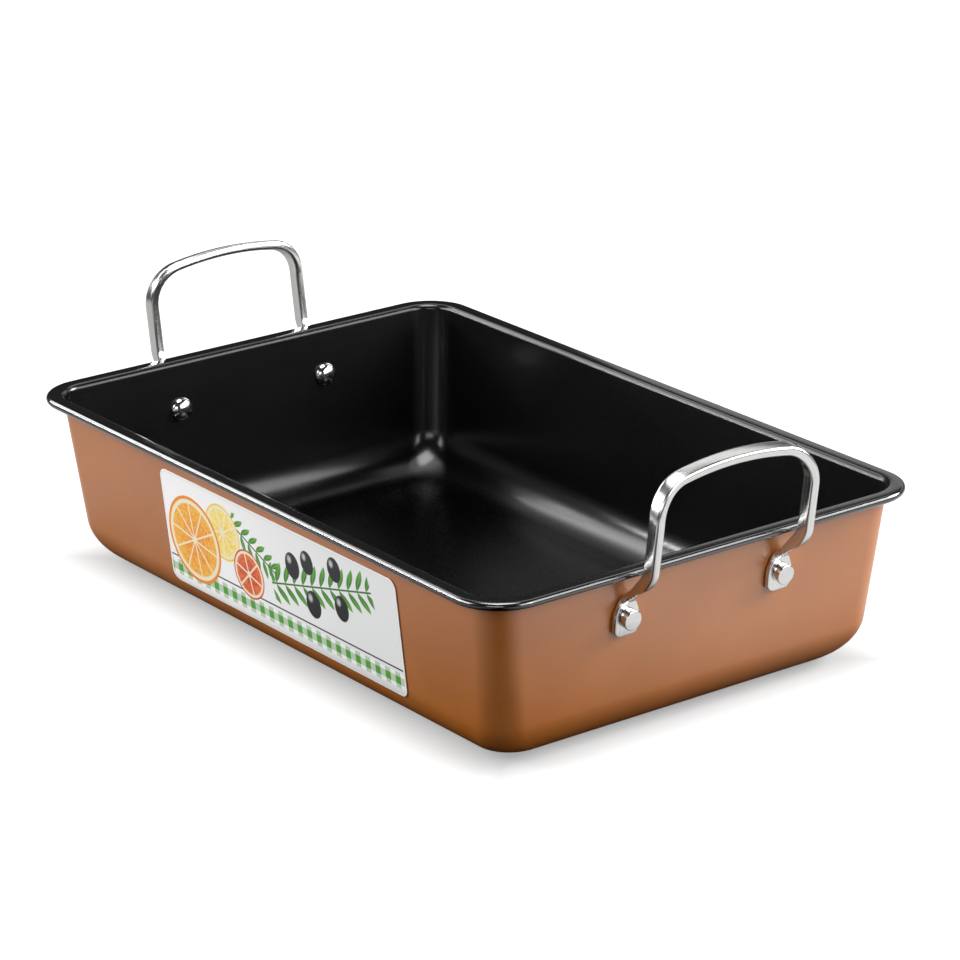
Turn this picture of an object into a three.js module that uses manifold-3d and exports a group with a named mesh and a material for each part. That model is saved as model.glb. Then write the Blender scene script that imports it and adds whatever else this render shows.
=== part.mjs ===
// Deep roasting pan: one drawn sheet-steel shell with a rolled rim, a bent bar handle
// riveted to each end wall, and a paper label on the front wall.
// Millimetres. +X runs along the pan, -Y is the front, +Z is up, and the origin is under the middle of the base.
import * as THREE from 'three';
import { mergeVertices } from 'three/addons/utils/BufferGeometryUtils.js';
import Module from 'manifold-3d';

const wasm = await Module();
wasm.setup();

// Shell
const rimLength = 391; // over the rolled rim
const rimWidth = 260;
const rimHeight = 90; // from the table to the top of the rim
const rimCorner = 25.5; // plan radius of the rim's outer edge
const wallCorner = 16; // plan radius of the wall's corners
const sheet = 0.8;
const rimOverhang = 8.5; // rim's outer edge to the outside of the wall, at rim height
const wallDraft = 6; // degrees that the walls lean out
const baseFillet = 25; // outside radius between wall and base
const rimBend = 3; // radius over which the wall turns out into the rim
const rollRadius = 2; // outside radius of the rolled edge
const rollTurn = 200; // degrees that the edge is rolled through

// Rivets
const rivetDrop = 25.5; // rivet axis below the top of the rim
const rivetSpacing = 91; // between the two rivets of a handle
const shankRadius = 2.5;
const domeRadius = 6.3; // head inside the pan
const domeHeight = 3.8;
const stubRadius = 4.9; // upset end outside
const stubLength = 3.9;
const stubEdge = 0.5; // rounding of the upset end

// Handles
const barDepth = 7.6; // across the handle, away from the pan
const barWidth = 4.8; // in the plane of the handle
const barEdge = 1.6; // rounding of the bar's edges
const tabThickness = 2.8; // flattened ends of the bar
const tabWidth = 14.2;
const tabDrop = 9; // tab below the rivet axis
const tabCorner = 3.4; // at the tab's flat foot
const tabRise = 7; // flat of the tab above the rivet axis
const neckLength = 15; // above the rivet axis, over which the tab narrows to the bar
const swellLength = 28; // above the tab's flat, over which it thickens to the bar
const rootBend = 6; // radius where the bar leaves the tab
const slopeLean = 43; // degrees out of the vertical, between tab and leg
const legBend = 14; // radius where the slope turns up into the leg
const legLean = 15; // degrees out of the vertical at the foot of the leg
const handleReach = 5.3; // rim's outer edge to the near face of the leg
const handleBow = 103; // radius of the handle's bow, seen from the side
const gripRise = 46.3; // middle of the grip above the rim
const shoulderRadius = 18.3;
const gripCrown = 175; // radius of the arched grip
const gripTilt = 20; // degrees that the grip's outer edge is dropped against the legs

// Label
const labelLength = 198;
const labelHeight = 60; // upright, from foot to top edge
const labelThickness = 0.3;
const labelCorner = 5;
const labelDrop = 13; // top edge below the top of the rim
const labelShift = 12.5; // middle of the label towards +X

// Fits
const seatGap = 0.3; // between pieces that rest on each other
const holeClearance = 0.3; // round the shank
const roundShare = 0.35; // most of a section's side that one rounded edge may take

// Facets
const planSteps = 10; // per corner of the shell, seen from above
const filletSteps = 12;
const bendSteps = 4;
const rollSteps = 10;
const edgeSteps = 3; // per corner of the bar's section
const tabSteps = 5; // per corner of the tab's foot
const neckSteps = 20;
const shoulderSteps = 8;
const crownSteps = 5;
const roundSteps = 28; // round the rivets and holes
const labelTurn = 60; // degrees of the foot's fillet that the label's strip follows
const domeSteps = 7;

const draft = THREE.MathUtils.degToRad(wallDraft);
const quarter = Math.PI / 2;
const rivetHeight = rimHeight - rivetDrop;
const legOffset = rivetSpacing / 2;

// How far the outside of the wall lies in from the rim's outer edge at a height.
function wallInset(height) {
  return rimOverhang + (rimHeight - height) * Math.tan(draft);
}

// How far the centre of the foot's fillet lies in from the rim's outer edge.
function filletInset() {
  return wallInset(baseFillet) + baseFillet / Math.cos(draft);
}

// Closed outline with round corners, counter-clockwise.
function roundedOutline(halfAcross, halfUp, radius, steps) {
  const points = [];
  for (let corner = 0; corner < 4; corner++) {
    const sideAcross = corner === 0 || corner === 3 ? 1 : -1;
    const sideUp = corner < 2 ? 1 : -1;
    for (let i = 0; i <= steps; i++) {
      const angle = quarter * (corner + i / steps);
      points.push(new THREE.Vector2(
        sideAcross * (halfAcross - radius) + radius * Math.cos(angle),
        sideUp * (halfUp - radius) + radius * Math.sin(angle),
      ));
    }
  }
  return points;
}

// Closed body through a row of rings of equal count, with both ends capped.
// Each ring runs counter-clockwise when the next one comes towards the viewer.
function loft(rings) {
  const count = rings[0].length;
  const positions = rings.flat().flatMap((point) => point.toArray());
  const index = [];
  for (let row = 0; row + 1 < rings.length; row++) {
    for (let i = 0; i < count; i++) {
      const here = row * count + i;
      const next = row * count + (i + 1) % count;
      index.push(here, next, next + count);
      index.push(here, next + count, here + count);
    }
  }
  const addCap = (ring, first, reversed) => {
    const middle = new THREE.Vector3();
    ring.forEach((point) => middle.addScaledVector(point, 1 / count));
    const centre = positions.length / 3;
    positions.push(...middle.toArray());
    for (let i = 0; i < count; i++) {
      const next = first + (i + 1) % count;
      index.push(centre, reversed ? next : first + i, reversed ? first + i : next);
    }
  };
  addCap(rings[0], 0, true);
  addCap(rings.at(-1), (rings.length - 1) * count, false);
  const geometry = new THREE.BufferGeometry();
  geometry.setAttribute('position', new THREE.Float32BufferAttribute(positions, 3));
  geometry.setIndex(index);
  return geometry;
}

function solidOf(geometry) {
  const bare = geometry.clone();
  bare.deleteAttribute('normal');
  bare.deleteAttribute('uv');
  const merged = mergeVertices(bare);
  const vertProperties = new Float32Array(merged.attributes.position.array);
  const triVerts = new Uint32Array(merged.index.array);
  return new wasm.Manifold(new wasm.Mesh({ numProp: 3, vertProperties, triVerts }));
}

function geometryOf(solid) {
  const mesh = solid.getMesh();
  const geometry = new THREE.BufferGeometry();
  geometry.setAttribute('position', new THREE.BufferAttribute(mesh.vertProperties, 3));
  geometry.setIndex(new THREE.BufferAttribute(mesh.triVerts, 1));
  return geometry;
}

function cutAway(geometry, cutters) {
  let solid = solidOf(geometry);
  cutters.forEach((cutter) => { solid = solid.subtract(solidOf(cutter)); });
  return geometryOf(solid);
}

// Turns a shape made round +Y to look out of the right end wall, with its origin
// where a rivet axis meets the outside of that wall.
function onEndWall(geometry, across) {
  const wallX = rimLength / 2 - wallInset(rivetHeight);
  return geometry.rotateZ(-quarter).rotateY(draft).translate(wallX, across, rivetHeight);
}

// Drill through the wall and the tab, for one rivet.
function rivetHole(across) {
  const radius = shankRadius + holeClearance;
  const length = 2 * (sheet + seatGap + tabThickness + stubLength);
  return onEndWall(new THREE.CylinderGeometry(radius, radius, length, roundSteps), across);
}

// Arc of the sheet's middle surface, for angles at which its outer face looks out.
// A negative radius puts the outer face on the hollow side of the arc.
function sheetArc(inset, height, radius, from, to, steps) {
  const points = [];
  for (let i = 0; i <= steps; i++) {
    const face = THREE.MathUtils.lerp(from, to, i / steps);
    points.push({
      inset: inset - radius * Math.cos(face),
      height: height + radius * Math.sin(face),
      face,
    });
  }
  return points;
}

// The sheet in section, from the edge of the flat base out to the end of the rolled edge.
function sheetSection() {
  const half = sheet / 2;
  const middleInset = (height) => wallInset(height) + half / Math.cos(draft);
  const filletRadius = baseFillet - half;
  const bendRadius = rimBend - half;
  const bendHeight = rimHeight - rimBend;
  const bendInset = middleInset(bendHeight) - bendRadius / Math.cos(draft);
  const rollEnd = -quarter - THREE.MathUtils.degToRad(rollTurn);
  return [
    ...sheetArc(filletInset(), baseFillet, filletRadius, -quarter, -draft, filletSteps),
    ...sheetArc(bendInset, bendHeight, -bendRadius, -draft, -quarter, bendSteps),
    ...sheetArc(rollRadius, rimHeight - rollRadius, half - rollRadius, -quarter, rollEnd, rollSteps),
  ];
}

// Ring round the pan on one face of the sheet: lift is half the sheet, negative for the inner face.
function sheetRing(point, lift) {
  const out = lift * Math.cos(point.face);
  const corner = Math.max(rimCorner - point.inset, wallCorner) + out;
  const halfLength = rimLength / 2 - point.inset + out;
  const halfWidth = rimWidth / 2 - point.inset + out;
  const height = point.height + lift * Math.sin(point.face);
  return roundedOutline(halfLength, halfWidth, corner, planSteps)
    .map((spot) => new THREE.Vector3(spot.x, spot.y, height));
}

function panShell() {
  const section = sheetSection();
  const outside = section.map((point) => sheetRing(point, sheet / 2));
  const inside = section.map((point) => sheetRing(point, -sheet / 2)).reverse();
  const holes = [];
  for (const across of [-legOffset, legOffset]) {
    holes.push(rivetHole(across));
    holes.push(rivetHole(across).rotateZ(Math.PI));
  }
  return cutAway(loft([...outside, ...inside]), holes);
}

// A step along the handle's side view. Turning outwards has a positive radius, and no radius is straight.
function stepAlong(start, length, radius) {
  const lean = radius ? start.lean + length / radius : start.lean;
  const out = radius ? radius * (Math.cos(start.lean) - Math.cos(lean)) : length * Math.sin(lean);
  const up = radius ? radius * (Math.sin(lean) - Math.sin(start.lean)) : length * Math.cos(lean);
  return { x: start.x + out, z: start.z + up, lean };
}

// The handle's face towards the pan seen from the side: tab on the wall, bend, slope past the rim,
// bend and bowed leg. Distances along it count from the rivet axis.
function sideView() {
  const slope = THREE.MathUtils.degToRad(slopeLean);
  const foot = THREE.MathUtils.degToRad(legLean);
  const axisPoint = {
    x: rimLength / 2 - wallInset(rivetHeight) + seatGap * Math.cos(draft),
    z: rivetHeight - seatGap * Math.sin(draft),
    lean: draft,
  };
  const rootStart = stepAlong(axisPoint, tabRise, 0);
  const rootEnd = stepAlong(rootStart, rootBend * (slope - draft), rootBend);
  const bendReach = legBend * (Math.cos(foot) - Math.cos(slope));
  const slopeReach = rimLength / 2 + handleReach - rootEnd.x - bendReach;
  const runs = [
    { length: tabRise, radius: 0 },
    { length: rootBend * (slope - draft), radius: rootBend },
    { length: slopeReach / Math.sin(slope), radius: 0 },
    { length: legBend * (slope - foot), radius: -legBend },
    { length: Infinity, radius: -handleBow },
  ];
  const at = (distance) => {
    let point = axisPoint;
    let left = distance;
    for (const run of runs) {
      if (left <= run.length) return stepAlong(point, left, run.radius);
      point = stepAlong(point, run.length, run.radius);
      left -= run.length;
    }
    return point;
  };
  const legStart = runs.slice(0, -1).reduce((sum, run) => sum + run.length, 0);
  const legFoot = at(legStart);
  const gripLean = Math.asin(Math.sin(foot) - (rimHeight + gripRise - legFoot.z) / handleBow);
  return { at, legStart, gripTop: legStart + handleBow * (foot - gripLean) };
}

// Depth and width of the bar at a distance above the rivet axis, down to the tab's flat foot.
function barSize(distance) {
  const below = Math.max(0, tabCorner - tabDrop - distance);
  const trimmed = tabCorner - Math.sqrt(Math.max(0, tabCorner ** 2 - below ** 2));
  const narrowed = THREE.MathUtils.smoothstep(distance, 0, neckLength);
  const swollen = THREE.MathUtils.smoothstep(distance, tabRise, tabRise + swellLength);
  return {
    depth: THREE.MathUtils.lerp(tabThickness, barDepth, swollen),
    width: THREE.MathUtils.lerp(tabWidth, barWidth, narrowed) - 2 * trimmed,
  };
}

// Stations from the front tab up to the middle of the grip: distance along the side view,
// place across the pan, and the heading across and up.
function halfPath(side) {
  const stations = [];
  for (let i = 0; i <= tabSteps; i++) {
    const rise = tabCorner * (1 - Math.cos(quarter * i / tabSteps));
    stations.push({ distance: rise - tabDrop, across: -legOffset, heading: quarter });
  }
  for (let i = 0; i <= neckSteps; i++) {
    stations.push({ distance: side.legStart * i / neckSteps, across: -legOffset, heading: quarter });
  }
  const shoulderAcross = legOffset - shoulderRadius;
  const crownRun = gripCrown - shoulderRadius;
  const crownBase = side.gripTop - gripCrown;
  const shoulderBase = crownBase + Math.sqrt(crownRun ** 2 - shoulderAcross ** 2);
  const joint = quarter + Math.asin(shoulderAcross / crownRun);
  const addArc = (across, base, radius, from, to, steps) => {
    for (let i = 0; i <= steps; i++) {
      const angle = THREE.MathUtils.lerp(from, to, i / steps);
      stations.push({
        distance: base + radius * Math.sin(angle),
        across: across + radius * Math.cos(angle),
        heading: angle - quarter,
      });
    }
  };
  addArc(-shoulderAcross, shoulderBase, shoulderRadius, Math.PI, joint, shoulderSteps);
  stations.pop();
  addArc(0, crownBase, gripCrown, joint, quarter, crownSteps);
  return stations;
}

function barRing(station, side) {
  const { x, z, lean } = side.at(station.distance);
  const { depth, width } = barSize(station.distance);
  const upLeg = new THREE.Vector3(Math.sin(lean), 0, Math.cos(lean));
  const away = new THREE.Vector3(Math.cos(lean), 0, -Math.sin(lean));
  const along = upLeg.multiplyScalar(Math.sin(station.heading));
  along.y = Math.cos(station.heading);
  const middle = new THREE.Vector3(x, station.across, z).addScaledVector(away, depth / 2);
  const dropped = THREE.MathUtils.degToRad(gripTilt) * Math.cos(station.heading);
  away.applyAxisAngle(along, dropped);
  const beside = along.clone().cross(away);
  const edge = Math.min(barEdge, roundShare * depth, roundShare * width);
  return roundedOutline(depth / 2, width / 2, edge, edgeSteps).map((spot) => (
    middle.clone().addScaledVector(away, spot.x).addScaledVector(beside, spot.y)
  ));
}

function handleBar() {
  const side = sideView();
  const frontHalf = halfPath(side);
  const backHalf = frontHalf.slice(0, -1).reverse().map((station) => (
    { ...station, across: -station.across, heading: -station.heading }
  ));
  const bar = loft([...frontHalf, ...backHalf].map((station) => barRing(station, side)));
  return cutAway(bar, [rivetHole(-legOffset), rivetHole(legOffset)]);
}

// Turned section from the dome's crown inside the pan, along the shank, to the upset end outside.
function rivet(across) {
  const wallFace = -sheet - seatGap;
  const tabFace = seatGap + tabThickness + seatGap;
  const stubEnd = tabFace + stubLength;
  const profile = [];
  for (let i = 0; i <= domeSteps; i++) {
    const angle = quarter * i / domeSteps;
    profile.push(new THREE.Vector2(domeRadius * Math.sin(angle), wallFace - domeHeight * Math.cos(angle)));
  }
  profile.push(new THREE.Vector2(shankRadius, wallFace));
  profile.push(new THREE.Vector2(shankRadius, tabFace));
  profile.push(new THREE.Vector2(stubRadius, tabFace));
  profile.push(new THREE.Vector2(stubRadius, stubEnd - stubEdge));
  profile.push(new THREE.Vector2(stubRadius - stubEdge, stubEnd));
  profile.push(new THREE.Vector2(0, stubEnd));
  return onEndWall(new THREE.LatheGeometry(profile, roundSteps), across);
}

// The label in section: distance in from the rim's edge and height, at a lift off the outside of the sheet,
// from above its top edge, down the wall and on round the fillet at the foot.
function labelLine(lift) {
  const radius = baseFillet + lift;
  const topHeight = rimHeight - labelDrop + labelCorner;
  const line = [[wallInset(topHeight) - lift / Math.cos(draft), topHeight]];
  for (let i = 0; i <= filletSteps; i++) {
    const face = -draft - THREE.MathUtils.degToRad(labelTurn) * i / filletSteps;
    line.push([filletInset() - radius * Math.cos(face), baseFillet + radius * Math.sin(face)]);
  }
  return line.map(([inset, height]) => new THREE.Vector2(rimWidth / 2 - inset, height));
}

// Strip that lies on the front wall and foot, trimmed to the label's rounded outline.
function paperLabel() {
  const section = [...labelLine(seatGap), ...labelLine(seatGap + labelThickness).reverse()];
  const strip = new THREE.ExtrudeGeometry(new THREE.Shape(section), { depth: rimLength, bevelEnabled: false });
  const forward = new THREE.Vector3(0, -1, 0);
  const upward = new THREE.Vector3(0, 0, 1);
  strip.translate(0, 0, -rimLength / 2);
  strip.applyMatrix4(new THREE.Matrix4().makeBasis(forward, upward, forward.clone().cross(upward)));
  const outline = roundedOutline(labelLength / 2, labelHeight / 2, labelCorner, planSteps);
  const window = new THREE.ExtrudeGeometry(new THREE.Shape(outline), { depth: rimWidth, bevelEnabled: false });
  window.rotateX(quarter).translate(labelShift, 0, rimHeight - labelDrop - labelHeight / 2);
  return geometryOf(solidOf(strip).intersect(solidOf(window)));
}

function named(name, geometry, color, roughness, metalness) {
  const mesh = new THREE.Mesh(geometry, new THREE.MeshStandardMaterial({ color, roughness, metalness }));
  mesh.name = name;
  return mesh;
}

// Handle and its two rivets on one end wall: the left end is the right end turned half round.
function endSet(end, nearRivet, farRivet, turn) {
  const set = new THREE.Group();
  set.add(named(`handle_${end}`, handleBar(), 0xc4c4c2, 0.28, 1));
  set.add(named(`rivet_${end}_${nearRivet}`, rivet(-legOffset), 0xd2d2d0, 0.2, 1));
  set.add(named(`rivet_${end}_${farRivet}`, rivet(legOffset), 0xd2d2d0, 0.2, 1));
  set.rotation.z = turn;
  return set;
}

const roastingPan = new THREE.Group();
roastingPan.add(named('pan_shell', panShell(), 0xb27a54, 0.38, 0.6));
roastingPan.add(endSet('right', 'front', 'back', 0));
roastingPan.add(endSet('left', 'back', 'front', Math.PI));
roastingPan.add(named('paper_label', paperLabel(), 0xf2f2ee, 0.55, 0));

export default roastingPan;
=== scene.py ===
from math import asin, copysign, cos, pi, radians, sin, sqrt, tan

import bmesh
import bpy
from mathutils import Matrix, Vector


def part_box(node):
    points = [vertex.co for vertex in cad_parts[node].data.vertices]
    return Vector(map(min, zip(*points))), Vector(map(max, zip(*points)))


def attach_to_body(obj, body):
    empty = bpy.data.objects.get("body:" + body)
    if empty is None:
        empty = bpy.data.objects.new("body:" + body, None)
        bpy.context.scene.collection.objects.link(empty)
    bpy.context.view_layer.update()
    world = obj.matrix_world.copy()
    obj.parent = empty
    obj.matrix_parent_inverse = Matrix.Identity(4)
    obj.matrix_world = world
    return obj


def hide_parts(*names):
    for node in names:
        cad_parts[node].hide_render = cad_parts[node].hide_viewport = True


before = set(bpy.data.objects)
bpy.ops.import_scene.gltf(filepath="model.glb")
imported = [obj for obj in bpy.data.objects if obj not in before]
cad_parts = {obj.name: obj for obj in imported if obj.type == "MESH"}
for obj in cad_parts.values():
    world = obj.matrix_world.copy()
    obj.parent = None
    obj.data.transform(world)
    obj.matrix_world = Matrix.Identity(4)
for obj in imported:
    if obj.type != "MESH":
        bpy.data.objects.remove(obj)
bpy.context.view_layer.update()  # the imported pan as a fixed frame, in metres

mm = 0.001
quarter = pi / 2
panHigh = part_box("pan_shell")[1]  # upper corner of the shell's box
print("frame loaded:", ", ".join(sorted(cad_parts)))


class Value:  # a socket that can be reckoned with
    def __init__(self, finish, socket):
        self.finish = finish
        self.socket = socket

    def reckon(self, operation, other=0.0, swapped=False):
        first, second = (other, self) if swapped else (self, other)
        return self.finish.node("ShaderNodeMath", {"operation": operation}, {0: first, 1: second})

    def __add__(self, other):
        return self.reckon("ADD", other)

    def __radd__(self, other):
        return self.reckon("ADD", other, True)

    def __sub__(self, other):
        return self.reckon("SUBTRACT", other)

    def __rsub__(self, other):
        return self.reckon("SUBTRACT", other, True)

    def __mul__(self, other):
        return self.reckon("MULTIPLY", other)

    def __truediv__(self, other):
        return self.reckon("DIVIDE", other)

    def __mod__(self, other):
        return self.reckon("FLOORED_MODULO", other)

    def __pow__(self, other):
        return self.reckon("POWER", other)

    def __abs__(self):
        return self.reckon("ABSOLUTE")

    def most(self, other):
        return self.reckon("MAXIMUM", other)

    def least(self, other):
        return self.reckon("MINIMUM", other)

    def output(self, name):  # another output of the same node
        return Value(self.finish, self.socket.node.outputs[name])


class Finish:  # a material and its nodes
    def __init__(self, name):
        self.material = bpy.data.materials.new(name)
        self.material.use_nodes = True
        self.tree = self.material.node_tree
        self.tree.nodes.clear()

    def node(self, kind, settings=None, sockets=None, out=0):
        made = self.tree.nodes.new(kind)
        for key, value in (settings or {}).items():
            setattr(made, key, value)
        for key, value in (sockets or {}).items():
            if isinstance(value, Value):
                self.tree.links.new(value.socket, made.inputs[key])
            else:
                made.inputs[key].default_value = value
        return Value(self, made.outputs[out]) if made.outputs else None

    def place(self):  # Object coordinates
        return self.node("ShaderNodeTexCoord", out="Object")

    def noise(self, where, scale, detail=2.0, roughness=0.5):
        sockets = {"Vector": where, "Scale": scale, "Detail": detail, "Roughness": roughness}
        return self.node("ShaderNodeTexNoise", None, sockets)

    def stretched(self, where, scale):
        return self.node("ShaderNodeMapping", None, {"Vector": where, "Scale": scale})

    def rise(self, value, low, high):  # 0 at low, 1 at high, eased
        settings = {"interpolation_type": "SMOOTHSTEP"}
        return self.node("ShaderNodeMapRange", settings, {0: value, 1: low, 2: high})

    def mix(self, share, low, high):
        return self.node("ShaderNodeMix", {"data_type": "RGBA"}, {0: share, 6: low, 7: high}, 2)

    def bump(self, height, distance, strength):
        sockets = {"Height": height, "Distance": distance, "Strength": strength}
        return self.node("ShaderNodeBump", None, sockets)

    def shader(self, sockets):
        return self.node("ShaderNodeBsdfPrincipled", None, sockets)

    def blend(self, share, low, high):
        return self.node("ShaderNodeMixShader", None, {0: share, 1: low, 2: high})

    def surface(self, shader):
        self.node("ShaderNodeOutputMaterial", None, {"Surface": shader})
        return self.material


def tint(red, green, blue):
    return red, green, blue, 1.0


def grey(level):
    return tint(level, level, level)


def swing(noise, width):  # half the width either way
    return (noise - 0.5) * width


copperLook = {
    "coat": tint(0.44, 0.134, 0.016),
    "coatDark": tint(0.40, 0.119, 0.013),
    "flake": tint(0.53, 0.178, 0.036),
    "flakeShare": 0.35,
    "roughness": 0.31,
    "ior": 2.25,  # stronger sheen than a plain lacquer
    "cloudScale": 22.0,
    "cloudEdge": (0.35, 0.65),
    "cloudSwing": 0.05,
    "flakeScale": 2600.0,
    "flakeEdge": (0.52, 0.72),
    "grainScale": 900.0,
    "grainSwing": 0.08,
    "reliefDepth": 0.03 * mm,
    "reliefShare": 0.18,
}


def copperFinish():
    look = copperLook
    finish = Finish("satin_copper")
    where = finish.place()
    cloud = finish.noise(where, look["cloudScale"], 3.0)
    flake = finish.noise(where, look["flakeScale"], 1.0)
    grain = finish.noise(where, look["grainScale"], 3.0)
    tone = finish.mix(finish.rise(cloud, *look["cloudEdge"]), look["coatDark"], look["coat"])
    shining = finish.rise(flake, *look["flakeEdge"]) * look["flakeShare"]
    tone = finish.mix(shining, tone, look["flake"])
    rough = look["roughness"] + swing(grain, look["grainSwing"]) + swing(cloud, look["cloudSwing"])
    return finish.surface(finish.shader({
        "Base Color": tone,
        "Roughness": rough,
        "IOR": look["ior"],
        "Normal": finish.bump(grain, look["reliefDepth"], look["reliefShare"]),
    }))


nonStickLook = {
    "coat": tint(0.0006, 0.0006, 0.00063),
    "speck": tint(0.004, 0.004, 0.0042),
    "roughness": 0.22,
    "grainSwing": 0.08,
    "cloudSwing": 0.04,
    "floorRoughness": 0.27,
    "floorGrainSwing": 0.10,
    "floorCloudSwing": 0.06,
    "gloss": 0.6,
    "floorGloss": 0.09,
    "floorEdge": (1.2 * mm, 7 * mm),  # heights between which the floor's finish ends
    "glaze": 0.85,
    "glazeSwing": 0.2,
    "glazeEdge": (-9 * mm, -7 * mm),  # from the rim's outer edge
    "glazeIor": 1.9,
    "glazeRoughness": 0.1,
    "grainScale": 1300.0,
    "speckScale": 1900.0,
    "speckEdge": (0.56, 0.74),
    "cloudScale": 18.0,
    "reliefDepth": 0.03 * mm,
    "reliefShare": 0.35,
}


def nonStickFinish():
    look = nonStickLook
    finish = Finish("non_stick")
    where = finish.place()
    grain = finish.noise(where, look["grainScale"], 2.0, 0.6)
    speck = finish.noise(where, look["speckScale"], 0.0)
    cloud = finish.noise(where, look["cloudScale"], 2.0)
    tone = finish.mix(finish.rise(speck, *look["speckEdge"]), look["coat"], look["speck"])
    x = finish.node("ShaderNodeSeparateXYZ", None, {0: where})
    y, height = x.output("Y"), x.output("Z")
    level = 1.0 - finish.rise(height, *look["floorEdge"])  # the floor is duller than the walls
    matt = look["floorRoughness"] + swing(grain, look["floorGrainSwing"])
    matt = matt + swing(cloud, look["floorCloudSwing"])
    sheen = look["roughness"] + swing(grain, look["grainSwing"]) + swing(cloud, look["cloudSwing"])
    relief = finish.bump(grain, look["reliefDepth"], look["reliefShare"])
    # flange and rolled edge are glossier: outwards is 0 at the rim's outer edge and negative inside it
    corner = pan["rimCorner"]
    sideways = (abs(x) - (panHigh.x - corner)).most(0.0)
    lengthways = (abs(y) - (panHigh.y - corner)).most(0.0)
    outwards = (sideways * sideways + lengthways * lengthways) ** 0.5 - corner
    glaze = look["glaze"] + swing(cloud, look["glazeSwing"])
    walls = finish.shader({
        "Base Color": tone,
        "Roughness": sheen,
        "Specular IOR Level": look["gloss"],
        "Coat Weight": finish.rise(outwards, *look["glazeEdge"]) * glaze,
        "Coat IOR": look["glazeIor"],
        "Coat Roughness": look["glazeRoughness"],
        "Normal": relief,
    })
    floor = finish.shader({
        "Base Color": tone,
        "Roughness": matt,
        "Specular IOR Level": look["floorGloss"],
        "Normal": relief,
    })
    return finish.surface(finish.blend(level, walls, floor))


steelLook = {
    "metal": tint(0.86, 0.855, 0.84),
    "metalDark": tint(0.70, 0.695, 0.685),
    "roughness": 0.23,
    "brushScale": (3200.0, 3200.0, 28.0),
    "brushSwing": 0.16,
    "fineScale": (9000.0, 9000.0, 110.0),
    "brushTone": (0.6, 0.4),  # shares of brushed and fine lines
    "brushEdge": (0.36, 0.6),
    "blotchScale": 60.0,
    "blotchSwing": 0.08,
    "brushDepth": 0.02 * mm,
    "brushShare": 0.3,
    "fineDepth": 0.5,
    "polishedRoughness": 0.13,
    "polishedBlotchScale": 240.0,
    "polishedSwing": 0.06,
    "scratchScale": (700.0, 5200.0, 5200.0),
    "scratchEdge": (0.4, 0.6),
    "scratchSwing": 0.04,
    "scratchDepth": 0.01 * mm,
    "scratchShare": 0.4,
}


def barFinish():
    # brushed along the bar: the attribute holds the straight bar's own coordinates
    look = steelLook
    finish = Finish("brushed_steel")
    where = finish.node("ShaderNodeAttribute", {"attribute_name": "straightBar"}, out="Vector")
    lines = finish.noise(finish.stretched(where, look["brushScale"]), 1.0, 3.0, 0.6)
    fine = finish.noise(finish.stretched(where, look["fineScale"]), 1.0, 1.0)
    blotch = finish.noise(where, look["blotchScale"], 2.0)
    lineShare, fineShare = look["brushTone"]
    brushed = finish.rise(lines * lineShare + fine * fineShare, *look["brushEdge"])
    tone = finish.mix(brushed, look["metalDark"], look["metal"])
    relief = lines + fine * look["fineDepth"]
    rough = look["roughness"] + swing(lines, look["brushSwing"]) + swing(blotch, look["blotchSwing"])
    return finish.surface(finish.shader({
        "Base Color": tone,
        "Metallic": 1.0,
        "Roughness": rough,
        "Normal": finish.bump(relief, look["brushDepth"], look["brushShare"]),
    }))


def rivetFinish():
    look = steelLook
    finish = Finish("polished_steel")
    where = finish.place()
    blotch = finish.noise(where, look["polishedBlotchScale"], 3.0)
    scratch = finish.noise(finish.stretched(where, look["scratchScale"]), 1.0, 2.0)
    tone = finish.mix(finish.rise(scratch, *look["scratchEdge"]), look["metalDark"], look["metal"])
    rough = look["polishedRoughness"] + swing(blotch, look["polishedSwing"])
    return finish.surface(finish.shader({
        "Base Color": tone,
        "Metallic": 1.0,
        "Roughness": rough + swing(scratch, look["scratchSwing"]),
        "Normal": finish.bump(scratch, look["scratchDepth"], look["scratchShare"]),
    }))


pan = {
    "wallCorner": 16 * mm,
    "rimCorner": 25.5 * mm,
    "sheet": 0.8 * mm,
    "overhang": 8.5 * mm,
    "draft": radians(6),
    "footFillet": 25 * mm,
    "rimBend": 3 * mm,
    "rollRadius": 2 * mm,
    "rollTurn": radians(200),
    "cornerSegments": 18,
    "filletSegments": 18,
    "bendSegments": 8,
    "rollSegments": 18,
    "baseRing": 6 * mm,
    "clear": 0.02 * mm,  # keeps the rim within the frame's box
    "spare": 60 * mm,  # the first quarter runs this far past the middle planes, where it is cut off
    "smoothAngle": 40,
}
nearby = 0.01 * mm  # for picking corners by their place


def wallInset(height):  # outside of the wall, in from the rim's outer edge
    return pan["overhang"] + (panHigh.z - height) * tan(pan["draft"])


def startPiece(name):  # names the primitive just added and opens it for shaping
    piece = bpy.context.active_object
    piece.name = name
    piece.data.name = name
    bpy.ops.object.mode_set(mode="EDIT")
    return piece


def pickSpots(piece, wanted):  # selects corners by their place
    bpy.ops.mesh.select_mode(type="VERT")
    bpy.ops.mesh.select_all(action="DESELECT")
    shape = bmesh.from_edit_mesh(piece.data)
    for spot in shape.verts:
        spot.select = bool(wanted(spot.co))
    shape.select_flush(True)
    bmesh.update_edit_mesh(piece.data)


def pullOut(move):  # extrudes what is selected
    bpy.ops.mesh.extrude_region_move(TRANSFORM_OT_translate={"value": move})


def resize(across, up, centre):
    bpy.ops.transform.resize(value=(across, up, 1.0), center_override=centre)


def closePiece(piece, angle):
    bpy.ops.object.mode_set(mode="OBJECT")
    bpy.ops.object.shade_smooth_by_angle(angle=radians(angle))
    piece.select_set(False)


def attach(piece, node):
    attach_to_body(piece, "root")
    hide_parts(node)


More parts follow.
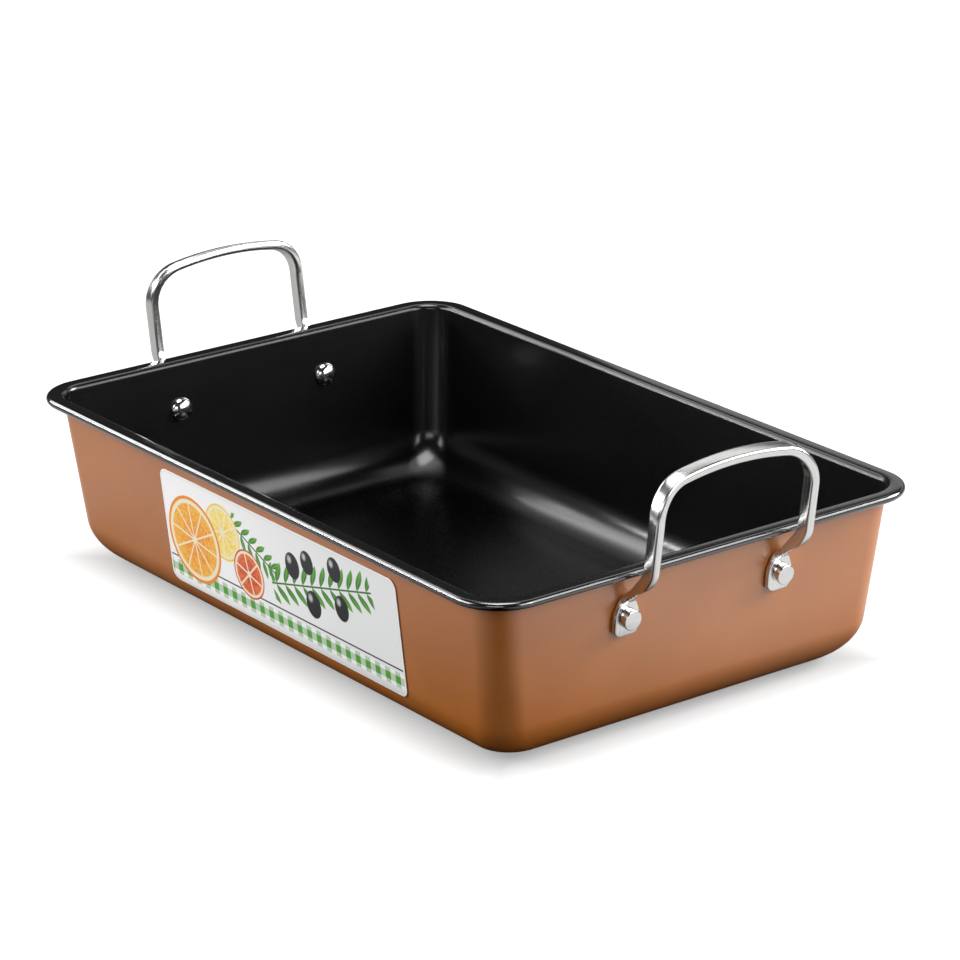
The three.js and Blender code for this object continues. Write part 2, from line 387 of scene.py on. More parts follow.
def copyOf(piece, name, matrix):  # a turned copy with its own mesh
    copy = piece.copy()
    copy.data = piece.data.copy()
    copy.name = name
    copy.data.name = name
    copy.data.transform(matrix)
    bpy.context.scene.collection.objects.link(copy)
    return copy


def arcPoints(inset, height, radius, first, last, segments):
    turns = [first + (last - first) * i / segments for i in range(segments + 1)]
    return [(inset - radius * cos(turn), height + radius * sin(turn)) for turn in turns]


def sheetLine():
    # middle of the sheet from the flat base to the end of the rolled edge: in from the rim's edge, and up
    half = pan["sheet"] / 2
    draft = pan["draft"]
    foot = pan["footFillet"]
    bend = pan["rimBend"] - half
    bendHeight = panHigh.z - pan["rimBend"]
    bendInset = wallInset(bendHeight) + (half - bend) / cos(draft)
    roll = pan["rollRadius"]
    footInset = wallInset(foot) + foot / cos(draft)
    rollHeight = panHigh.z - roll
    rollEnd = -quarter - pan["rollTurn"]
    line = arcPoints(footInset, foot, foot - half, -quarter, -draft, pan["filletSegments"])
    line += arcPoints(bendInset, bendHeight, -bend, -draft, -quarter, pan["bendSegments"])
    line += arcPoints(roll, rollHeight, half - roll, -quarter, rollEnd, pan["rollSegments"])
    return line


def makeShell():
    line = sheetLine()
    rings = []
    for inset, height in line:
        corner = max(pan["rimCorner"] - inset, pan["wallCorner"])
        inwards = inset + corner + pan["clear"]
        middle = Vector((panHigh.x - inwards, panHigh.y - inwards, height))
        rings.append((corner, middle))
    corner, middle = rings[0]
    past = pan["spare"]
    bpy.ops.mesh.primitive_circle_add(vertices=4 * pan["cornerSegments"], radius=corner)
    shell = startPiece("drawnShell")
    pickSpots(shell, lambda spot: spot.x < -nearby or spot.y < -nearby)
    bpy.ops.mesh.delete(type="VERT")
    pickSpots(shell, lambda spot: spot.y < nearby)
    pullOut((0, -middle.y - past, 0))
    pickSpots(shell, lambda spot: spot.x < nearby)
    pullOut((-middle.x - past, 0, 0))
    bpy.ops.mesh.select_all(action="SELECT")
    bpy.ops.transform.translate(value=middle)
    for nextCorner, nextMiddle in rings[1:]:  # a ring of sheet at each step of the section
        pullOut((0, 0, 0))
        share = nextCorner / corner
        resize(share, share, middle)
        bpy.ops.transform.translate(value=nextMiddle - middle)
        corner, middle = nextCorner, nextMiddle
    for way in ((1, 0, 0), (0, 1, 0)):
        bpy.ops.mesh.select_all(action="SELECT")
        bpy.ops.mesh.bisect(plane_co=(0, 0, 0), plane_no=way, clear_inner=True)
    bpy.ops.object.mode_set(mode="OBJECT")
    bpy.ops.object.modifier_add(type="MIRROR")
    mirror = shell.modifiers[-1]
    mirror.use_axis = (True, True, False)
    mirror.merge_threshold = nearby
    bpy.ops.object.modifier_apply(modifier=mirror.name)
    bpy.ops.object.mode_set(mode="EDIT")
    baseHeight = line[0][1]
    pickSpots(shell, lambda spot: spot.z < baseHeight + nearby)
    bpy.ops.mesh.edge_face_add()
    bpy.ops.mesh.inset(thickness=pan["baseRing"], depth=0)
    bpy.ops.mesh.select_all(action="SELECT")
    bpy.ops.mesh.normals_make_consistent(inside=False)
    bpy.ops.object.mode_set(mode="OBJECT")
    lowest = min(shell.data.polygons, key=lambda face: face.center.z)
    if lowest.normal.z > 0:  # the copper side faces out
        bpy.ops.object.mode_set(mode="EDIT")
        bpy.ops.mesh.flip_normals()
        bpy.ops.object.mode_set(mode="OBJECT")
    shell.data.materials.append(copperFinish())
    shell.data.materials.append(nonStickFinish())
    bpy.ops.object.modifier_add(type="SOLIDIFY")
    wall = shell.modifiers[-1]
    wall.thickness = pan["sheet"]
    wall.offset = 0
    wall.use_even_offset = True
    wall.material_offset = 1
    wall.material_offset_rim = 1
    bpy.ops.object.modifier_apply(modifier=wall.name)
    closePiece(shell, pan["smoothAngle"])
    return shell


rivetLook = {
    "drop": 25.5 * mm,
    "spacing": 91 * mm,
    "shank": 2.5 * mm,
    "dome": 6.3 * mm,
    "domeHeight": 3.8 * mm,
    "stub": 4.9 * mm,
    "stubLength": 3.9 * mm,
    "stubEdge": 0.5 * mm,
    "seat": 0.3 * mm,
    "round": 48,
    "domeSegments": 14,
    "domeEnd": 0.985,  # share of the quarter turn at which the dome's small flat begins
    "edgeSegments": 5,
    "smoothAngle": 32,
}

bar = {
    "depth": 7.6 * mm,
    "width": 4.8 * mm,
    "edge": 1.6 * mm,
    "edgeShare": 0.35,
    "edgeSegments": 6,
    "tabThickness": 2.8 * mm,
    "tabWidth": 14.2 * mm,
    "tabDrop": 9 * mm,
    "tabCorner": 3.4 * mm,
    "tabRise": 7 * mm,
    "neck": 15 * mm,
    "swell": 28 * mm,
    "rootBend": 6 * mm,
    "slopeLean": radians(43),
    "legBend": 14 * mm,
    "legLean": radians(15),
    "reach": 5.3 * mm,
    "bow": 103 * mm,
    "gripRise": 46 * mm,
    "shoulder": 18.3 * mm,
    "crown": 175 * mm,
    "gripTilt": radians(20),
    "tabSegments": 8,
    "legSegments": 44,
    "shoulderSegments": 20,
    "crownSegments": 10,
    "smoothAngle": 35,
}
rivetHeight = panHigh.z - rivetLook["drop"]
legOffset = rivetLook["spacing"] / 2


def stepAlong(start, length, radius):
    x, z, lean = start
    if not radius:
        return x + length * sin(lean), z + length * cos(lean), lean
    turned = lean + length / radius
    return x + radius * (cos(lean) - cos(turned)), z + radius * (sin(turned) - sin(lean)), turned


def eased(value, low, high):
    share = min(max((value - low) / (high - low), 0), 1)
    return share * share * (3 - 2 * share)


def barSize(distance):  # depth and width at a distance above the rivet axis
    below = max(0, bar["tabCorner"] - bar["tabDrop"] - distance)
    trimmed = bar["tabCorner"] - sqrt(max(0, bar["tabCorner"] ** 2 - below ** 2))
    narrowed = eased(distance, 0, bar["neck"])
    swollen = eased(distance, bar["tabRise"], bar["tabRise"] + bar["swell"])
    depth = bar["tabThickness"] + (bar["depth"] - bar["tabThickness"]) * swollen
    width = bar["tabWidth"] + (bar["width"] - bar["tabWidth"]) * narrowed
    return depth, width - 2 * trimmed


def barRoute():
    # middle of the bar from the front tab over the grip to the back tab, with its size and its turn there
    draft = pan["draft"]
    seat = rivetLook["seat"]
    slope, foot = bar["slopeLean"], bar["legLean"]
    wallX = panHigh.x - wallInset(rivetHeight)
    axis = (wallX + seat * cos(draft), rivetHeight - seat * sin(draft), draft)
    rootRun = bar["rootBend"] * (slope - draft)
    rootEnd = stepAlong(stepAlong(axis, bar["tabRise"], 0), rootRun, bar["rootBend"])
    bendReach = bar["legBend"] * (cos(foot) - cos(slope))
    slopeRun = (panHigh.x + bar["reach"] - rootEnd[0] - bendReach) / sin(slope)
    runs = [
        (bar["tabRise"], 0),
        (rootRun, bar["rootBend"]),
        (slopeRun, 0),
        (bar["legBend"] * (slope - foot), -bar["legBend"]),
    ]

    def at(distance):
        spot, left = axis, distance
        for length, radius in runs:
            if left <= length:
                return stepAlong(spot, left, radius)
            spot = stepAlong(spot, length, radius)
            left -= length
        return stepAlong(spot, left, -bar["bow"])

    legStart = sum(length for length, radius in runs)
    gripLean = asin(sin(foot) - (panHigh.z + bar["gripRise"] - at(legStart)[1]) / bar["bow"])
    gripTop = legStart + bar["bow"] * (foot - gripLean)
    stations = []
    for i in range(bar["tabSegments"] + 1):
        rise = bar["tabCorner"] * (1 - cos(quarter * i / bar["tabSegments"]))
        stations.append((rise - bar["tabDrop"], -legOffset, quarter))
    for i in range(bar["legSegments"] + 1):
        stations.append((legStart * i / bar["legSegments"], -legOffset, quarter))
    shoulderAcross = legOffset - bar["shoulder"]
    crownRun = bar["crown"] - bar["shoulder"]
    crownBase = gripTop - bar["crown"]
    shoulderBase = crownBase + sqrt(crownRun ** 2 - shoulderAcross ** 2)
    joint = quarter + asin(shoulderAcross / crownRun)

    def addArc(across, base, radius, first, last, segments):
        for i in range(segments + 1):
            angle = first + (last - first) * i / segments
            stations.append((base + radius * sin(angle), across + radius * cos(angle), angle - quarter))

    addArc(-shoulderAcross, shoulderBase, bar["shoulder"], pi, joint, bar["shoulderSegments"])
    stations.pop()
    addArc(0, crownBase, bar["crown"], joint, quarter, bar["crownSegments"])
    stations += [(distance, -across, -heading) for distance, across, heading in reversed(stations[:-1])]
    route = []
    for distance, across, heading in stations:
        x, z, lean = at(distance)
        depth, width = barSize(distance)
        outwards = Vector((cos(lean), 0, -sin(lean)))
        middle = Vector((x, across, z)) + outwards * depth / 2
        route.append((middle, depth, width, bar["gripTilt"] * cos(heading)))
    return route


def roundEdges(handle, sizes, lengths):
    # the edges of every ring are made round again after it was stretched
    fullDepth, fullWidth, fullEdge = bar["depth"] / 2, bar["width"] / 2, bar["edge"]
    for spot in handle.data.vertices:
        ring = min(range(len(lengths)), key=lambda i: abs(lengths[i] - spot.co.z))
        depth, width = sizes[ring][0] / 2, sizes[ring][1] / 2
        edge = min(bar["edge"], 2 * bar["edgeShare"] * depth, 2 * bar["edgeShare"] * width)
        across = (abs(spot.co.x) / depth * fullDepth - fullDepth + fullEdge) / fullEdge
        up = (abs(spot.co.y) / width * fullWidth - fullWidth + fullEdge) / fullEdge
        spot.co.x = copysign(depth - edge + edge * across, spot.co.x)
        spot.co.y = copysign(width - edge + edge * up, spot.co.y)


def makeHandle():
    route = barRoute()
    lengths = [0.0]
    for i in range(1, len(route)):
        lengths.append(lengths[-1] + (route[i][0] - route[i - 1][0]).length)
    # a straight bar of the right sizes, standing on its front tab
    bpy.ops.mesh.primitive_plane_add(size=1)
    handle = startPiece("barHandle_right")
    resize(bar["depth"], bar["width"], (0, 0, 0))
    bpy.ops.mesh.bevel(offset=bar["edge"], segments=bar["edgeSegments"], affect="VERTICES")
    depth, width = bar["depth"], bar["width"]
    for i, (middle, nextDepth, nextWidth, tilt) in enumerate(route):
        if i:
            pullOut((0, 0, lengths[i] - lengths[i - 1]))
        resize(nextDepth / depth, nextWidth / width, (0, 0, lengths[i]))
        depth, width = nextDepth, nextWidth
    bpy.ops.mesh.select_all(action="SELECT")
    bpy.ops.mesh.normals_make_consistent(inside=False)
    bpy.ops.object.mode_set(mode="OBJECT")
    roundEdges(handle, [station[1:3] for station in route], lengths)
    straight = handle.data.attributes.new("straightBar", "FLOAT_VECTOR", "POINT")
    places = [number for spot in handle.data.vertices for number in spot.co]
    straight.data.foreach_set("vector", places)
    # bent by a guide curve whose tilt turns the grip
    guideLine = bpy.data.curves.new("barGuide", "CURVE")
    guideLine.dimensions = "3D"
    guideLine.twist_mode = "MINIMUM"
    spline = guideLine.splines.new("POLY")
    spline.points.add(len(route) - 1)
    for point, (middle, depth, width, tilt) in zip(spline.points, route):
        point.co = (*middle, 1)
        point.tilt = tilt - quarter
    guide = bpy.data.objects.new("barGuide", guideLine)
    bpy.context.scene.collection.objects.link(guide)
    bpy.ops.object.modifier_add(type="CURVE")
    bend = handle.modifiers[-1]
    bend.object = guide
    bend.deform_axis = "POS_Z"
    bpy.ops.object.modifier_apply(modifier=bend.name)
    bpy.data.objects.remove(guide)
    handle.data.materials.append(barFinish())
    closePiece(handle, bar["smoothAngle"])
    return handle


def makeRivet():
    wallFace = -pan["sheet"] - rivetLook["seat"]
    tabFace = 2 * rivetLook["seat"] + bar["tabThickness"]
    grip = tabFace - wallFace
    shank, stub, dome = rivetLook["shank"], rivetLook["stub"], rivetLook["dome"]
    bpy.ops.mesh.primitive_cylinder_add(vertices=rivetLook["round"], radius=shank, depth=grip)
    rivet = startPiece("rivet_right_near")
    bpy.ops.transform.translate(value=(0, 0, (tabFace + wallFace) / 2))
    pickSpots(rivet, lambda spot: spot.z > tabFace - nearby)  # upset end
    pullOut((0, 0, 0))
    resize(stub / shank, stub / shank, (0, 0, tabFace))
    pullOut((0, 0, rivetLook["stubLength"]))
    bpy.ops.mesh.bevel(offset=rivetLook["stubEdge"], segments=rivetLook["edgeSegments"], affect="EDGES")
    pickSpots(rivet, lambda spot: spot.z < wallFace + nearby)  # domed head
    pullOut((0, 0, 0))
    resize(dome / shank, dome / shank, (0, 0, wallFace))
    height, radius = 0.0, dome
    for i in range(1, rivetLook["domeSegments"] + 1):
        angle = quarter * min(i / rivetLook["domeSegments"], rivetLook["domeEnd"])
        nextHeight = rivetLook["domeHeight"] * sin(angle)
        nextRadius = dome * cos(angle)
        pullOut((0, 0, height - nextHeight))
        resize(nextRadius / radius, nextRadius / radius, (0, 0, wallFace - nextHeight))
        height, radius = nextHeight, nextRadius
    bpy.ops.mesh.select_all(action="SELECT")
    bpy.ops.mesh.normals_make_consistent(inside=False)
    rivet.data.materials.append(rivetFinish())
    closePiece(rivet, rivetLook["smoothAngle"])
    return rivet


label = {
    "length": 198 * mm,
    "height": 60 * mm,
    "thickness": 0.3 * mm,
    "corner": 5 * mm,
    "drop": 13 * mm,
    "shift": 12.5 * mm,
    "seat": 0.3 * mm,
    "footRows": 8,
    "cornerSegments": 8,
    "smoothAngle": 30,
}
labelLook = {
    "paper": tint(0.95, 0.955, 0.95),
    # grey for the painted shade on the paper, and for the printed border and olive shine
    "paperShade": tint(0.68, 0.69, 0.70),
    "ink": tint(0.012, 0.012, 0.013),
    "leaf": tint(0.10, 0.36, 0.045),
    "leafDark": tint(0.03, 0.16, 0.02),
    "lime": tint(0.24, 0.52, 0.06),
    "orange": tint(0.86, 0.27, 0.02),
    "orangePale": tint(0.95, 0.52, 0.08),
    "lemon": tint(0.93, 0.64, 0.05),
    "lemonPale": tint(0.95, 0.80, 0.30),
    "tomato": tint(0.62, 0.045, 0.02),
    "tomatoPale": tint(0.82, 0.20, 0.06),
    "pith": tint(0.90, 0.82, 0.60),
    "roughness": 0.34,
    "fibreScale": 900.0,
    "fibreSwing": 0.14,
    "juiceScale": 700.0,
    "fibreDepth": 0.02 * mm,
    "fibreShare": 0.35,
}
labelDesign = {  # millimetres from the label's lower left corner
    "inkEdge": (0.0, 0.35),  # softness of a printed outline
    "paintedShade": (0.5, 0.25, 1.5),  # shares of across, up and fibre in the painted shade on the paper
    "paintedShadeEdge": (22.0, 92.0),
    "paintedShadeShare": 0.4,
    "check": 4.0,
    "checkSoft": 0.15,
    "ribbon": (4.0, 12.0),
    "rule": (13.6, 14.4),
    # sprigs: across, up, turn, length, pitch, leaf length, leaf width
    "longSprig": (92.0, 26.0, radians(14), 88.0, 8.0, 11.0, 2.6),
    "shortSprig": (60.0, 48.0, radians(-24), 40.0, 6.5, 8.0, 2.1),
    "stem": (0.3, 0.6),
    "stemEnd": (-0.4, 0.4),
    "leafLean": 0.7,  # leaves point forwards
    "rib": (0.1, 0.4),
    "ribShare": 0.7,
    "olives": (  # across, up, radius
        (112.0, 41.0, 6.0),
        (125.0, 46.5, 5.4),
        (127.0, 25.5, 6.2),
        (148.0, 50.0, 5.6),
        (151.0, 31.0, 5.8),
    ),
    "oliveSquash": 0.85,
    "shineSpot": (-0.35, 0.4),  # across and up, in shares of the radius
    "shineReach": (0.1, 0.42),  # shares of the radius
    "shineShare": 0.8,
    "slices": (  # fruit, across, up, radius, wedges
        ("lemon", 52.0, 40.0, 15.0, 9),
        ("tomato", 72.0, 24.0, 13.0, 6),
        ("orange", 25.0, 28.0, 23.0, 10),
    ),
    "wedgeTurn": 0.3,
    "wedgeGap": (0.25, 0.7),
    "core": (1.2, 2.2),
    "flesh": 0.84,  # share of the radius
    "fleshEdge": (0.0, 0.7),
    "rind": (0.91, 0.93),  # shares of the radius
    "juiceFade": 0.3,
    "juiceEdge": (0.45, 0.85),
    "margin": (0.0, 0.9),
    "border": (0.95, 1.25),
    "borderShare": 0.6,
    "borderSoft": 0.1,
}


def labelFinish():
    look, design = labelLook, labelDesign
    finish = Finish("printed_paper")
    where = finish.place()
    parts = finish.node("ShaderNodeSeparateXYZ", None, {0: where})
    left = label["shift"] - label["length"] / 2
    foot = panHigh.z - label["drop"] - label["height"]
    across = (parts - left) / mm  # millimetres from the label's lower left corner
    up = (parts.output("Z") - foot) / mm
    wide, high = label["length"] / mm, label["height"] / mm

    fibre = finish.noise(where, look["fibreScale"], 3.0)
    # painted shade: the paper is drawn greyer towards the right and the top, mottled by its fibres
    acrossShare, upShare, fibreShare = design["paintedShade"]
    slant = across * acrossShare + up * upShare + fibre * fibreShare
    paintedShade = finish.rise(slant, *design["paintedShadeEdge"]) * design["paintedShadeShare"]
    printAndShade = finish.mix(paintedShade, look["paper"], look["paperShade"])

    def roundSlice(under, fruit, middleAcross, middleUp, radius, wedges):
        flesh, pale = look[fruit], look[fruit + "Pale"]
        a, b = across - middleAcross, up - middleUp
        reach = (a * a + b * b) ** 0.5
        angle = b.reckon("ARCTAN2", a)
        wedge = abs((angle * (wedges / (2 * pi)) + design["wedgeTurn"]) % 1.0 - 0.5)
        gap = (0.5 - wedge) * reach * (2 * pi / wedges)
        juice = finish.noise(where, look["juiceScale"], 2.0) + reach / radius * design["juiceFade"]
        tone = finish.mix(finish.rise(juice, *design["juiceEdge"]), flesh, pale)
        inside = finish.rise(radius * design["flesh"] - reach, *design["fleshEdge"])
        cut = finish.rise(gap, *design["wedgeGap"]) * inside * finish.rise(reach, *design["core"])
        disc = finish.mix(cut, look["pith"], tone)
        rind = finish.rise(reach, *(radius * share for share in design["rind"]))
        disc = finish.mix(rind, disc, flesh)
        return finish.mix(finish.rise(radius - reach, *design["inkEdge"]), under, disc)

    def sprig(under, startAcross, startUp, turn, length, pitch, leafLength, leafWidth):
        a, b = across - startAcross, up - startUp
        along = a * cos(turn) + b * sin(turn)
        side = b * cos(turn) - a * sin(turn)
        on = finish.rise(along, *design["stemEnd"]) * finish.rise(length - along, *design["stemEnd"])
        reach = abs(side)
        lean = along - reach * design["leafLean"]
        step = abs(lean % pitch - pitch / 2)
        blade = reach / leafLength
        bulge = (blade * (1.0 - blade)).most(0.0) * 4.0
        mask = finish.rise(bulge * leafWidth - step, *design["inkEdge"]) * on
        rib = (1.0 - finish.rise(step, *design["rib"])) * design["ribShare"]
        outer = finish.rise(reach, 0.0, leafLength)
        tone = finish.mix(outer, look["leafDark"], look["leaf"])
        tone = finish.mix(rib, tone, look["lime"])
        stem = (1.0 - finish.rise(reach, *design["stem"])) * on
        under = finish.mix(mask, under, tone)
        return finish.mix(stem, under, look["leafDark"])

    def olive(under, middleAcross, middleUp, radius):
        a, b = across - middleAcross, (up - middleUp) * design["oliveSquash"]
        reach = (a * a + b * b) ** 0.5
        spotAcross, spotUp = (radius * share for share in design["shineSpot"])
        c, d = a - spotAcross, b - spotUp
        away = finish.rise((c * c + d * d) ** 0.5, *(radius * share for share in design["shineReach"]))
        shine = (1.0 - away) * design["shineShare"]
        tone = finish.mix(shine, look["ink"], look["paperShade"])
        return finish.mix(finish.rise(radius - reach, *design["inkEdge"]), under, tone)

    def bandOf(value, low, high, soft=0.2):
        begun = finish.rise(value, low - soft, low + soft)
        return begun * finish.rise(high + soft - value, 0.0, 2 * soft)

    def chequer(value):
        check, soft = design["check"], design["checkSoft"]
        return finish.rise(abs(value % (2 * check) - check), check / 2 - soft, check / 2 + soft)

    # checked ribbon along the foot, ruled above
    cloth = finish.mix((chequer(across) + chequer(up)) * 0.5, look["paper"], look["leaf"])
    printAndShade = finish.mix(bandOf(up, *design["ribbon"]), printAndShade, cloth)
    printAndShade = finish.mix(bandOf(up, *design["rule"]), printAndShade, look["ink"])

    printAndShade = sprig(printAndShade, *design["longSprig"])
    for fruit in design["olives"]:
        printAndShade = olive(printAndShade, *fruit)
    printAndShade = sprig(printAndShade, *design["shortSprig"])
    for fruit in design["slices"]:
        printAndShade = roundSlice(printAndShade, *fruit)

    # thin border line that follows the rounded outline
    corner = label["corner"] / mm
    sideways = (abs(across - wide / 2) - (wide / 2 - corner)).most(0.0)
    upwards = (abs(up - high / 2) - (high / 2 - corner)).most(0.0)
    fromEdge = corner - (sideways * sideways + upwards * upwards) ** 0.5
    margin = bandOf(fromEdge, *design["margin"], design["borderSoft"])
    printAndShade = finish.mix(margin, printAndShade, look["paper"])
    border = bandOf(fromEdge, *design["border"], design["borderSoft"]) * design["borderShare"]
    printAndShade = finish.mix(border, printAndShade, look["paperShade"])
    return finish.surface(finish.shader({
        "Base Color": printAndShade,
        "Roughness": look["roughness"] + swing(fibre, look["fibreSwing"]),
        "Normal": finish.bump(fibre, look["fibreDepth"], look["fibreShare"]),
    }))


def makeLabel():
    draft, foot = pan["draft"], pan["footFillet"]
    lift = label["seat"] + label["thickness"] / 2
    radius = foot + lift
    topHeight = panHigh.z - label["drop"]
    bendHeight = foot - radius * sin(draft)  # where the wall runs into the fillet
    wallRun = (topHeight - bendHeight) / cos(draft)
    footTurn = asin((foot - (topHeight - label["height"])) / radius) - draft
    run = wallRun + radius * footTurn
    # cut flat, top edge at y = 0
    bpy.ops.mesh.primitive_plane_add(size=1)
    paper = startPiece("paperLabel")
    resize(label["length"], run, (0, 0, 0))
    bpy.ops.transform.translate(value=(label["shift"], -run / 2, 0))
    bpy.ops.mesh.bevel(offset=label["corner"], segments=label["cornerSegments"], affect="VERTICES")
    rows = label["footRows"]
    step = footTurn / rows
    for i in range(rows):
        bpy.ops.mesh.select_all(action="SELECT")
        fold = -wallRun - (i + 0.5) * radius * step
        bpy.ops.mesh.bisect(plane_co=(0, fold, 0), plane_no=(0, 1, 0))
    bpy.ops.object.mode_set(mode="OBJECT")
    # laid down the wall and round the fillet
    for spot in paper.data.vertices:
        down = -spot.co.y
        turn = draft + max(0.0, down - wallRun) / radius
        onWall = min(down, wallRun)
        inset = wallInset(topHeight) - lift / cos(draft) + onWall * sin(draft)
        height = topHeight - onWall * cos(draft)
        inset += radius * (cos(draft) - cos(turn))
        height -= radius * (sin(turn) - sin(draft))
        spot.co = (spot.co.x, inset - panHigh.y, height)
    bpy.ops.object.mode_set(mode="EDIT")
    bpy.ops.mesh.select_all(action="SELECT")
    bpy.ops.mesh.normals_make_consistent(inside=False)
    bpy.ops.object.mode_set(mode="OBJECT")
    paper.data.materials.append(labelFinish())
    bpy.ops.object.modifier_add(type="SOLIDIFY")
    sheet = paper.modifiers[-1]
    sheet.thickness = label["thickness"]
    sheet.offset = 0
    bpy.ops.object.modifier_apply(modifier=sheet.name)
    closePiece(paper, label["smoothAngle"])
    return paper


bpy.ops.object.select_all(action="DESELECT")
shell = makeShell()
attach(shell, "pan_shell")
print("shell:", len(shell.data.polygons), "faces")

handle = makeHandle()
halfTurn = Matrix.Rotation(pi, 4, "Z")
otherHandle = copyOf(handle, "barHandle_left", halfTurn)
attach(handle, "handle_right")
attach(otherHandle, "handle_left")
print("handles:", len(handle.data.polygons), "faces each")

rivet = makeRivet()
onWall = Matrix.Rotation(quarter + pan["draft"], 4, "Y")
wallX = panHigh.x - wallInset(rivetHeight)
frontSpot = Matrix.Translation((wallX, -legOffset, rivetHeight)) @ onWall
backSpot = Matrix.Translation((wallX, legOffset, rivetHeight)) @ onWall
for node, spot in (
    ("rivet_right_back", backSpot),
    ("rivet_left_back", halfTurn @ frontSpot),
    ("rivet_left_front", halfTurn @ backSpot),
):
    attach(copyOf(rivet, node + "_turned", spot), node)
rivet.data.transform(frontSpot)
attach(rivet, "rivet_right_front")
print("rivets:", len(rivet.data.polygons), "faces each")

paper = makeLabel()
attach(paper, "paper_label")
print("label:", len(paper.data.polygons), "faces")

view = {
    "azimuth": radians(53.41),
    "elevation": radians(19.96),
    "roll": radians(-0.77),
    "distance": 1.99293,
    "aim": Vector((4.7, 7.98, 66.41)) * mm,
    "lens": 151.51,
    "sensor": 36,
    "clipEnd": 60,
}

studio = {
    "floorSize": 24.0,
    "floorCuts": 4,
    "paint": 0.31,  # the floor as the camera sees it, with the shadow
    "glow": (0.34, 0.72),  # dimmer at the pan's foot, a painted contact shadow, and brighter further out
    "paintedShadowSpan": (0.006, 0.04),
    "glowEnd": (0.6, 1.5),  # where it turns white
    "bounce": 0.12,  # as other light sees it
    "mirroredRight": (0.05, 0.2, 0.88),  # painted pools of light that glossy faces see out at the sides: from, to, glow
    "mirroredLeft": (0.0, 0.17, 0.54),
    "mirroredFootShadow": (0.005, 0.078),  # and a painted shadow round the pan's foot in what glossy faces see: from, to
    "mirroredEnd": (0.55, 0.9),
    "mirroredShift": 15 * mm,
    "room": 0.03,
    "lampAim": Vector((0, 0, 60 * mm)),
    "lamps": (  # azimuth from +X, elevation, distance, width, height, glow
        ("leftStrip", -141, 16.5, 1.9, 1.6, 0.08, 40.0),
        ("leftPanel", -151, 33, 1.9, 1.7, 0.45, 6.0),
        ("leftHigh", -172, 44, 1.9, 1.5, 0.45, 1.3),
        ("leftKey", -112, 29, 1.9, 1.0, 0.8, 7.0),
        ("rightPanel", 41, 27, 1.9, 1.4, 1.0, 4.0),
        ("rightKey", 68, 27, 1.9, 0.6, 0.8, 27.0),
        ("rightFill", 14, 24, 1.9, 0.8, 0.8, 5.2),
        ("frontFill", -46, 22, 2.4, 1.2, 0.6, 3.2),
        ("backWall", 128, 50, 1.9, 1.4, 0.65, 0.95),
        ("backLow", 114, 18, 1.9, 1.7, 0.35, 0.5),
        ("topBox", 0, 90, 1.7, 0.9, 0.9, 7.5),
    ),
}


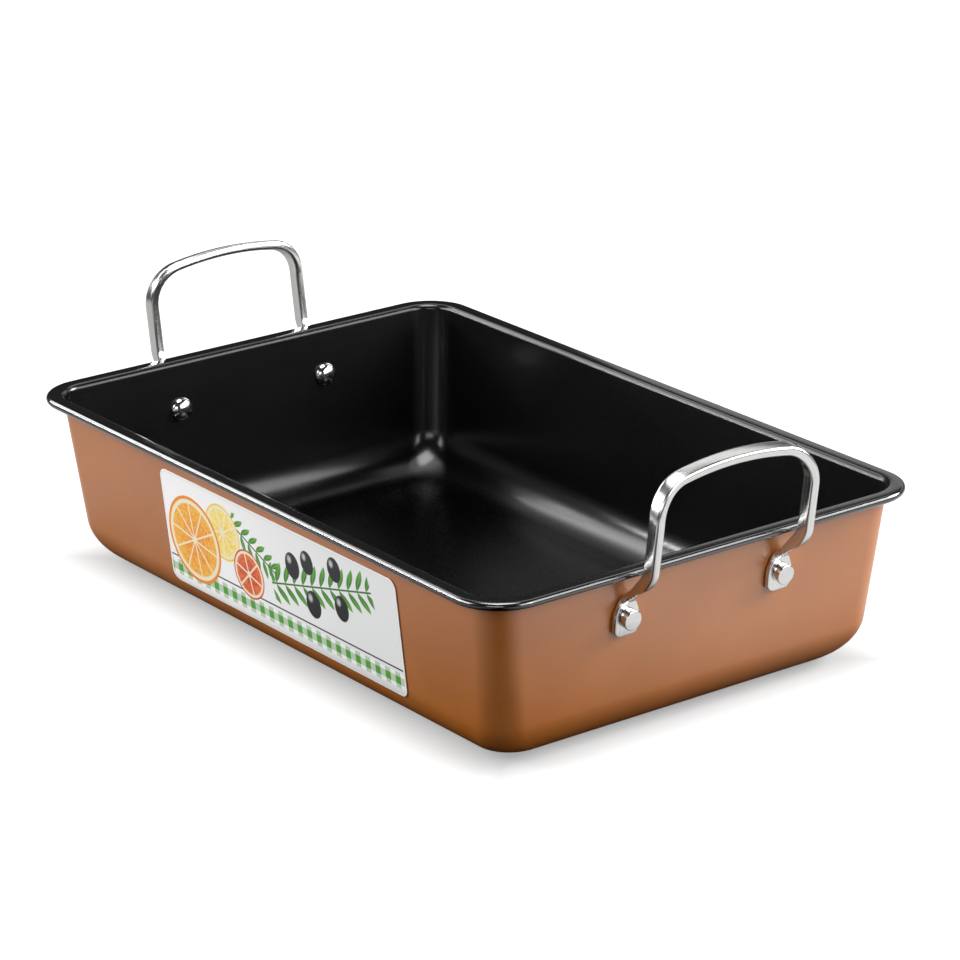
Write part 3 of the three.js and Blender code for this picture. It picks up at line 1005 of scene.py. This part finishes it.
def makeFloor():
    bpy.ops.mesh.primitive_plane_add(size=studio["floorSize"])
    floor = startPiece("studioFloor")
    bpy.ops.mesh.subdivide(number_cuts=studio["floorCuts"])
    bpy.ops.object.mode_set(mode="OBJECT")
    finish = Finish("studio_floor")
    direct = finish.node("ShaderNodeLightPath", out="Is Camera Ray")
    glossy = direct.output("Is Glossy Ray").most(direct.output("Is Transmission Ray"))
    x = finish.node("ShaderNodeSeparateXYZ", None, {0: finish.place()})
    y = x.output("Y")
    sideways = x * cos(view["azimuth"]) + y * sin(view["azimuth"]) + studio["mirroredShift"]
    inset = wallInset(pan["footFillet"]) + pan["footFillet"]
    away = (abs(x) - (panHigh.x - inset)).most(abs(y) - (panHigh.y - inset))  # from the flat base
    black, white = grey(0), grey(1)

    def ramp(value, start, end, most):
        return ((value - start) / (end - start)).most(0.0).least(1.0) * most

    # painted light seen only by glossy faces: pools of light at the sides, a painted shadow near the
    # pan's foot, dark far out
    paintedLightPools = ramp(sideways, *studio["mirroredRight"])
    paintedLightPools = paintedLightPools.most(ramp(0.0 - sideways, *studio["mirroredLeft"]))
    paintedLightPools = paintedLightPools * finish.rise(away, *studio["mirroredFootShadow"])
    paintedLightPools = paintedLightPools * (1.0 - finish.rise(away, *studio["mirroredEnd"]))
    mirrored = finish.node("ShaderNodeEmission", None, {"Color": finish.mix(paintedLightPools, black, white)})
    # painted contact shadow: the floor's own glow is dimmer near the pan's foot
    near, far = (grey(glow) for glow in studio["glow"])
    glowWithPaintedShadow = finish.mix(finish.rise(away, *studio["paintedShadowSpan"]), near, far)
    glowWithPaintedShadow = finish.mix(finish.rise(away, *studio["glowEnd"]), glowWithPaintedShadow, white)
    glow = finish.node("ShaderNodeEmission", None, {"Color": glowWithPaintedShadow})
    bounce = finish.node("ShaderNodeBsdfDiffuse", None, {"Color": grey(studio["bounce"])})
    paint = finish.node("ShaderNodeBsdfDiffuse", None, {"Color": grey(studio["paint"])})
    seen = finish.node("ShaderNodeAddShader", None, {0: paint, 1: glow})
    unseen = finish.blend(glossy, bounce, mirrored)
    floor.data.materials.append(finish.surface(finish.blend(direct, unseen, seen)))
    floor.select_set(False)


def softbox(name, azimuth, elevation, distance, width, height, glow):
    turn, lift = radians(azimuth), radians(elevation)
    back = Vector((cos(turn) * cos(lift), sin(turn) * cos(lift), sin(lift)))
    lamp = bpy.data.lights.new(name, "AREA")
    lamp.shape = "RECTANGLE"
    lamp.size = width
    lamp.size_y = height
    lamp.energy = glow * pi * width * height
    holder = bpy.data.objects.new(name, lamp)
    bpy.context.scene.collection.objects.link(holder)
    holder.location = studio["lampAim"] + back * distance
    holder.rotation_euler = back.to_track_quat("Z", "Y").to_euler()


makeFloor()
for lamp in studio["lamps"]:
    softbox(*lamp)

room = bpy.data.worlds.new("room")
room.use_nodes = True
backdrop = room.node_tree.nodes["Background"]
backdrop.inputs["Color"].default_value = grey(1)
backdrop.inputs["Strength"].default_value = studio["room"]
bpy.context.scene.world = room
print("studio set")


def makeCamera():
    turn, lift, roll = view["azimuth"], view["elevation"], view["roll"]
    back = Vector((sin(turn) * cos(lift), -cos(turn) * cos(lift), sin(lift)))
    right = Vector((cos(turn), sin(turn), 0))
    upright = back.cross(right)
    rolledRight = right * cos(roll) + upright * sin(roll)
    rolledUp = upright * cos(roll) - right * sin(roll)
    lens = bpy.data.cameras.new("photoView")
    lens.sensor_width = view["sensor"]
    lens.lens = view["lens"]
    lens.clip_end = view["clipEnd"]
    camera = bpy.data.objects.new("photoView", lens)
    bpy.context.scene.collection.objects.link(camera)
    frameOf = Matrix((rolledRight, rolledUp, back)).transposed().to_4x4()
    frameOf.translation = view["aim"] + back * view["distance"]
    camera.matrix_world = frameOf
    bpy.context.scene.camera = camera


makeCamera()
bpy.context.scene.view_settings.view_transform = "Standard"
bpy.context.view_layer.update()
